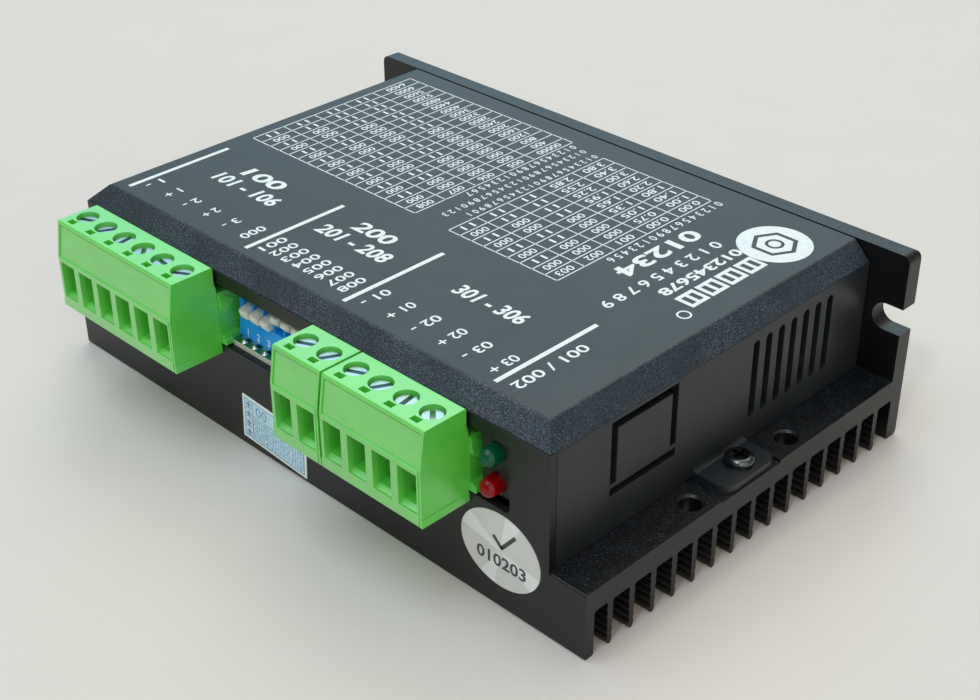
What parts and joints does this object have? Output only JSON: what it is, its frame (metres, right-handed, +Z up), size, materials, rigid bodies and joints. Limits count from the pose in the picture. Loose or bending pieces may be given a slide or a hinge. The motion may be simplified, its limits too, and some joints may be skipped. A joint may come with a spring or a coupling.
{
  "type": "stepper motor driver module",
  "caption": "Finned black stepper motor driver module with a bevelled sheet cover, green pluggable screw terminals, rocker switches and two lamps.",
  "frame": {"origin": "middle of the overall footprint, plugs included, level with the tips of the fins", "axes": "+X along the fins, the connectors face -Y and the mounting flange is at +Y, +Z up through the cover"},
  "size_m": [0.118, 0.0846, 0.0334],
  "materials": {
    "black_anodised": "black anodised, satin, fine saw and drawing marks",
    "black_powder_coat": "black powder coat, fine grain, silver-white print on top",
    "black_steel": "black zinc plated, glossy",
    "silver_label": "silver foil label, holographic sheen",
    "printed_label": "pale blue paper label with a printed grid",
    "board_laminate": "green solder mask on glass laminate, pale cut edge",
    "plated_brass": "nickel plated",
    "tinned_pins": "tin plated",
    "chip_black": "moulded, matt",
    "capacitor_sleeve": "shrink sleeve with a bare aluminium top",
    "thermal_pad": "soft, matt",
    "terminal_green": "moulded polyamide, soft sheen",
    "tinned_contacts": "tin plated",
    "terminal_steel": "zinc plated",
    "clamp_steel": "zinc plated",
    "switch_blue": "moulded, semi-gloss, white print",
    "key_white": "moulded, semi-matt",
    "lamp_green": "clear tinted epoxy",
    "lamp_red": "clear tinted epoxy",
    "holder_black": "moulded, satin"
  },
  "bodies": {
    "module": {"heatsink": "black_anodised", "cover": "black_powder_coat", "cover_screws": "black_steel", "oval_label": "silver_label", "grid_label": "printed_label", "main_board": "board_laminate", "board_standoffs": "plated_brass", "board_screws": "black_steel", "board_pins": "tinned_pins", "board_chips": "chip_black", "bulk_capacitors": "capacitor_sleeve", "thermal_pad": "thermal_pad", "header_power": "terminal_green", "header_enable": "terminal_green", "header_signal": "terminal_green", "dip_body": "switch_blue", "led_green": "lamp_green", "led_red": "lamp_red", "lamp_holder": "holder_black"},
    "plug_power": {"plug_power_housing": "terminal_green", "plug_power_front": "terminal_green", "plug_power_contacts": "tinned_contacts"},
    "screw_power_1": {"screw_power_1": "terminal_steel"},
    "clamp_power_1": {"clamp_power_1": "clamp_steel"},
    "screw_power_2": {"screw_power_2": "terminal_steel"},
    "clamp_power_2": {"clamp_power_2": "clamp_steel"},
    "screw_power_3": {"screw_power_3": "terminal_steel"},
    "clamp_power_3": {"clamp_power_3": "clamp_steel"},
    "screw_power_4": {"screw_power_4": "terminal_steel"},
    "clamp_power_4": {"clamp_power_4": "clamp_steel"},
    "screw_power_5": {"screw_power_5": "terminal_steel"},
    "clamp_power_5": {"clamp_power_5": "clamp_steel"},
    "screw_power_6": {"screw_power_6": "terminal_steel"},
    "clamp_power_6": {"clamp_power_6": "clamp_steel"},
    "plug_enable": {"plug_enable_housing": "terminal_green", "plug_enable_front": "terminal_green", "plug_enable_contacts": "tinned_contacts"},
    "screw_enable_1": {"screw_enable_1": "terminal_steel"},
    "clamp_enable_1": {"clamp_enable_1": "clamp_steel"},
    "screw_enable_2": {"screw_enable_2": "terminal_steel"},
    "clamp_enable_2": {"clamp_enable_2": "clamp_steel"},
    "plug_signal": {"plug_signal_housing": "terminal_green", "plug_signal_front": "terminal_green", "plug_signal_contacts": "tinned_contacts"},
    "screw_signal_1": {"screw_signal_1": "terminal_steel"},
    "clamp_signal_1": {"clamp_signal_1": "clamp_steel"},
    "screw_signal_2": {"screw_signal_2": "terminal_steel"},
    "clamp_signal_2": {"clamp_signal_2": "clamp_steel"},
    "screw_signal_3": {"screw_signal_3": "terminal_steel"},
    "clamp_signal_3": {"clamp_signal_3": "clamp_steel"},
    "screw_signal_4": {"screw_signal_4": "terminal_steel"},
    "clamp_signal_4": {"clamp_signal_4": "clamp_steel"},
    "dip_lever_1": {"dip_lever_1": "key_white"},
    "dip_lever_2": {"dip_lever_2": "key_white"},
    "dip_lever_3": {"dip_lever_3": "key_white"},
    "dip_lever_4": {"dip_lever_4": "key_white"},
    "dip_lever_5": {"dip_lever_5": "key_white"},
    "dip_lever_6": {"dip_lever_6": "key_white"},
    "dip_lever_7": {"dip_lever_7": "key_white"},
    "dip_lever_8": {"dip_lever_8": "key_white"}
  },
  "joints": [
    {"name": "plug_power_pull", "type": "slide", "parent": "module", "child": "plug_power", "axis": [0, -1, 0], "range_m": [0, 0.01]},
    {"name": "screw_power_1_turn", "type": "hinge", "parent": "plug_power", "child": "screw_power_1", "pos_m": [-0.04584, -0.03725, 0.026], "axis": [0, 0, 1], "range_deg": [-2879, 0]},
    {"name": "clamp_power_1_lift", "type": "slide", "parent": "plug_power", "child": "clamp_power_1", "axis": [0, 0, 1], "range_m": [0, 0.0036]},
    {"name": "screw_power_2_turn", "type": "hinge", "parent": "plug_power", "child": "screw_power_2", "pos_m": [-0.04076, -0.03725, 0.026], "axis": [0, 0, 1], "range_deg": [-2879, 0]},
    {"name": "clamp_power_2_lift", "type": "slide", "parent": "plug_power", "child": "clamp_power_2", "axis": [0, 0, 1], "range_m": [0, 0.0036]},
    {"name": "screw_power_3_turn", "type": "hinge", "parent": "plug_power", "child": "screw_power_3", "pos_m": [-0.03568, -0.03725, 0.026], "axis": [0, 0, 1], "range_deg": [-2879, 0]},
    {"name": "clamp_power_3_lift", "type": "slide", "parent": "plug_power", "child": "clamp_power_3", "axis": [0, 0, 1], "range_m": [0, 0.0036]},
    {"name": "screw_power_4_turn", "type": "hinge", "parent": "plug_power", "child": "screw_power_4", "pos_m": [-0.0306, -0.03725, 0.026], "axis": [0, 0, 1], "range_deg": [-2879, 0]},
    {"name": "clamp_power_4_lift", "type": "slide", "parent": "plug_power", "child": "clamp_power_4", "axis": [0, 0, 1], "range_m": [0, 0.0036]},
    {"name": "screw_power_5_turn", "type": "hinge", "parent": "plug_power", "child": "screw_power_5", "pos_m": [-0.02552, -0.03725, 0.026], "axis": [0, 0, 1], "range_deg": [-2879, 0]},
    {"name": "clamp_power_5_lift", "type": "slide", "parent": "plug_power", "child": "clamp_power_5", "axis": [0, 0, 1], "range_m": [0, 0.0036]},
    {"name": "screw_power_6_turn", "type": "hinge", "parent": "plug_power", "child": "screw_power_6", "pos_m": [-0.02044, -0.03725, 0.026], "axis": [0, 0, 1], "range_deg": [-2879, 0]},
    {"name": "clamp_power_6_lift", "type": "slide", "parent": "plug_power", "child": "clamp_power_6", "axis": [0, 0, 1], "range_m": [0, 0.0036]},
    {"name": "plug_enable_pull", "type": "slide", "parent": "module", "child": "plug_enable", "axis": [0, -1, 0], "range_m": [0, 0.01]},
    {"name": "screw_enable_1_turn", "type": "hinge", "parent": "plug_enable", "child": "screw_enable_1", "pos_m": [0.00879, -0.03725, 0.026], "axis": [0, 0, 1], "range_deg": [-2879, 0]},
    {"name": "clamp_enable_1_lift", "type": "slide", "parent": "plug_enable", "child": "clamp_enable_1", "axis": [0, 0, 1], "range_m": [0, 0.0036]},
    {"name": "screw_enable_2_turn", "type": "hinge", "parent": "plug_enable", "child": "screw_enable_2", "pos_m": [0.01387, -0.03725, 0.026], "axis": [0, 0, 1], "range_deg": [-2879, 0]},
    {"name": "clamp_enable_2_lift", "type": "slide", "parent": "plug_enable", "child": "clamp_enable_2", "axis": [0, 0, 1], "range_m": [0, 0.0036]},
    {"name": "plug_signal_pull", "type": "slide", "parent": "module", "child": "plug_signal", "axis": [0, -1, 0], "range_m": [0, 0.01]},
    {"name": "screw_signal_1_turn", "type": "hinge", "parent": "plug_signal", "child": "screw_signal_1", "pos_m": [0.01953, -0.03725, 0.026], "axis": [0, 0, 1], "range_deg": [-2879, 0]},
    {"name": "clamp_signal_1_lift", "type": "slide", "parent": "plug_signal", "child": "clamp_signal_1", "axis": [0, 0, 1], "range_m": [0, 0.0036]},
    {"name": "screw_signal_2_turn", "type": "hinge", "parent": "plug_signal", "child": "screw_signal_2", "pos_m": [0.02461, -0.03725, 0.026], "axis": [0, 0, 1], "range_deg": [-2879, 0]},
    {"name": "clamp_signal_2_lift", "type": "slide", "parent": "plug_signal", "child": "clamp_signal_2", "axis": [0, 0, 1], "range_m": [0, 0.0036]},
    {"name": "screw_signal_3_turn", "type": "hinge", "parent": "plug_signal", "child": "screw_signal_3", "pos_m": [0.02969, -0.03725, 0.026], "axis": [0, 0, 1], "range_deg": [-2879, 0]},
    {"name": "clamp_signal_3_lift", "type": "slide", "parent": "plug_signal", "child": "clamp_signal_3", "axis": [0, 0, 1], "range_m": [0, 0.0036]},
    {"name": "screw_signal_4_turn", "type": "hinge", "parent": "plug_signal", "child": "screw_signal_4", "pos_m": [0.03477, -0.03725, 0.026], "axis": [0, 0, 1], "range_deg": [-2879, 0]},
    {"name": "clamp_signal_4_lift", "type": "slide", "parent": "plug_signal", "child": "clamp_signal_4", "axis": [0, 0, 1], "range_m": [0, 0.0036]},
    {"name": "dip_lever_1_rock", "type": "hinge", "parent": "module", "child": "dip_lever_1", "pos_m": [-0.01469, -0.0271, 0.02385], "axis": [1, 0, 0], "range_deg": [-33, 0]},
    {"name": "dip_lever_2_rock", "type": "hinge", "parent": "module", "child": "dip_lever_2", "pos_m": [-0.01215, -0.0271, 0.02385], "axis": [1, 0, 0], "range_deg": [-33, 0]},
    {"name": "dip_lever_3_rock", "type": "hinge", "parent": "module", "child": "dip_lever_3", "pos_m": [-0.00961, -0.0271, 0.02385], "axis": [1, 0, 0], "range_deg": [-33, 0]},
    {"name": "dip_lever_4_rock", "type": "hinge", "parent": "module", "child": "dip_lever_4", "pos_m": [-0.00707, -0.0271, 0.02385], "axis": [1, 0, 0], "range_deg": [0, 33]},
    {"name": "dip_lever_5_rock", "type": "hinge", "parent": "module", "child": "dip_lever_5", "pos_m": [-0.00453, -0.0271, 0.02385], "axis": [1, 0, 0], "range_deg": [0, 33]},
    {"name": "dip_lever_6_rock", "type": "hinge", "parent": "module", "child": "dip_lever_6", "pos_m": [-0.00199, -0.0271, 0.02385], "axis": [1, 0, 0], "range_deg": [0, 33]},
    {"name": "dip_lever_7_rock", "type": "hinge", "parent": "module", "child": "dip_lever_7", "pos_m": [0.00055, -0.0271, 0.02385], "axis": [1, 0, 0], "range_deg": [0, 33]},
    {"name": "dip_lever_8_rock", "type": "hinge", "parent": "module", "child": "dip_lever_8", "pos_m": [0.00309, -0.0271, 0.02385], "axis": [1, 0, 0], "range_deg": [0, 33]}
  ],
  "couplings": [
    {"joint": "screw_power_1_turn", "follows": "clamp_power_1_lift", "rad_per_m": -13957},
    {"joint": "screw_power_2_turn", "follows": "clamp_power_2_lift", "rad_per_m": -13957},
    {"joint": "screw_power_3_turn", "follows": "clamp_power_3_lift", "rad_per_m": -13957},
    {"joint": "screw_power_4_turn", "follows": "clamp_power_4_lift", "rad_per_m": -13957},
    {"joint": "screw_power_5_turn", "follows": "clamp_power_5_lift", "rad_per_m": -13957},
    {"joint": "screw_power_6_turn", "follows": "clamp_power_6_lift", "rad_per_m": -13957},
    {"joint": "screw_enable_1_turn", "follows": "clamp_enable_1_lift", "rad_per_m": -13957},
    {"joint": "screw_enable_2_turn", "follows": "clamp_enable_2_lift", "rad_per_m": -13957},
    {"joint": "screw_signal_1_turn", "follows": "clamp_signal_1_lift", "rad_per_m": -13957},
    {"joint": "screw_signal_2_turn", "follows": "clamp_signal_2_lift", "rad_per_m": -13957},
    {"joint": "screw_signal_3_turn", "follows": "clamp_signal_3_lift", "rad_per_m": -13957},
    {"joint": "screw_signal_4_turn", "follows": "clamp_signal_4_lift", "rad_per_m": -13957}
  ]
}
